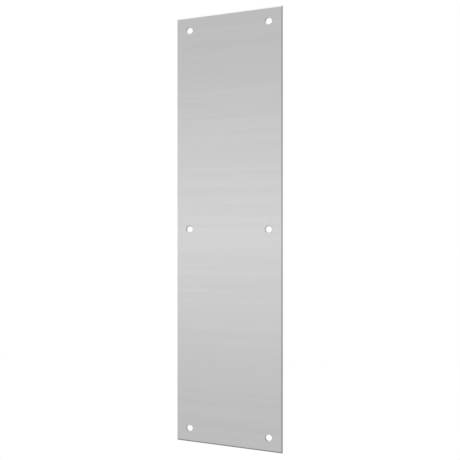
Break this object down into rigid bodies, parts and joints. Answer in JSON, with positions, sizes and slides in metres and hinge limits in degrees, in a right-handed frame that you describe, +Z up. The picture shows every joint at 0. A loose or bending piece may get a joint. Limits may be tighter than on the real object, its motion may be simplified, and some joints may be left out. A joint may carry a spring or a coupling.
{
  "type": "push plate",
  "caption": "Flat rectangular door push plate with bevelled face edges, eased corners and countersunk screw holes near its long edges.",
  "frame": {"origin": "centre of the flat back face, which lies against the door", "axes": "+Z up the door along the plate's height, +X across the door along its width, -Y out of the door, so the bevelled front face looks towards -Y and the back face towards +Y"},
  "size_m": [0.1016, 0.0013, 0.4064],
  "materials": {
    "satin_stainless": "satin, brushed across the width"
  },
  "bodies": {
    "root": {"push_plate": "satin_stainless"}
  },
  "joints": []
}
